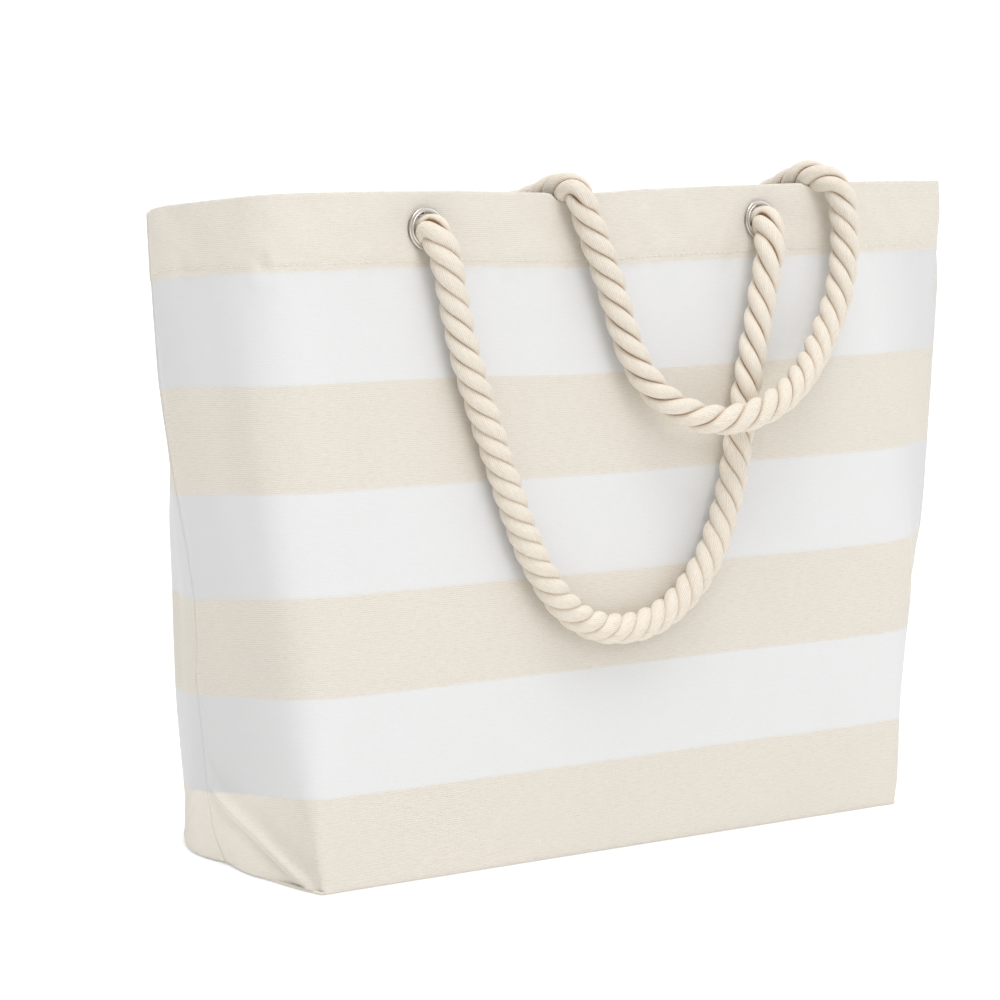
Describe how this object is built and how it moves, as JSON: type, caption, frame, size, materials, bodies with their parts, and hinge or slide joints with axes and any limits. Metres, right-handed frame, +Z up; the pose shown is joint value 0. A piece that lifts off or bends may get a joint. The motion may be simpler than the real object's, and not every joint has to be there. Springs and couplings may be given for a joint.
{
  "type": "canvas tote bag",
  "caption": "Open-topped striped canvas tote with a boxed base, side seams, metal eyelets at the rim and twisted rope handles that hang down the front",
  "frame": {"origin": "bottom centre of the bag's box without its rope handles, on the surface it stands on", "axes": "+X along the bag's width, from the side seam at the left of the front to the one at the right; +Y from the front to the back; +Z up"},
  "size_m": [0.4832, 0.1872, 0.3607],
  "materials": {
    "canvas": "plain-weave cotton canvas, natural cream with three printed white bands, matt",
    "cotton_tape": "plain cotton binding tape, matt",
    "nickel": "bright nickel plate",
    "cotton_rope": "soft three-strand twisted cotton, undyed"
  },
  "bodies": {
    "bag": {"front_panel": "canvas", "back_panel": "canvas", "left_seam_tape": "cotton_tape", "right_seam_tape": "cotton_tape", "left_corner_tape": "cotton_tape", "right_corner_tape": "cotton_tape", "bottom_seam_tape": "cotton_tape", "eyelet_front_left": "nickel", "eyelet_front_right": "nickel", "eyelet_back_left": "nickel", "eyelet_back_right": "nickel", "washer_front_left": "nickel", "washer_front_right": "nickel", "washer_back_left": "nickel", "washer_back_right": "nickel", "front_rope_end_left": "cotton_rope", "front_rope_end_right": "cotton_rope", "rear_rope_end_left": "cotton_rope", "rear_rope_end_right": "cotton_rope"},
    "front_loop": {"front_handle": "cotton_rope"},
    "rear_loop": {"rear_handle": "cotton_rope"}
  },
  "joints": [
    {"name": "rear_handle_lift", "type": "hinge", "parent": "bag", "child": "rear_loop", "pos_m": [0.0516, -0.06528, 0.34658], "axis": [-1, 0, 0], "range_deg": [0, 170]},
    {"name": "front_handle_lift", "type": "hinge", "parent": "bag", "child": "front_loop", "pos_m": [-0.0163, -0.06778, 0.33228], "axis": [-1, 0, 0], "range_deg": [0, 170]}
  ],
  "couplings": [
    {"joint": "front_handle_lift", "follows": "rear_handle_lift", "ratio": 1}
  ]
}
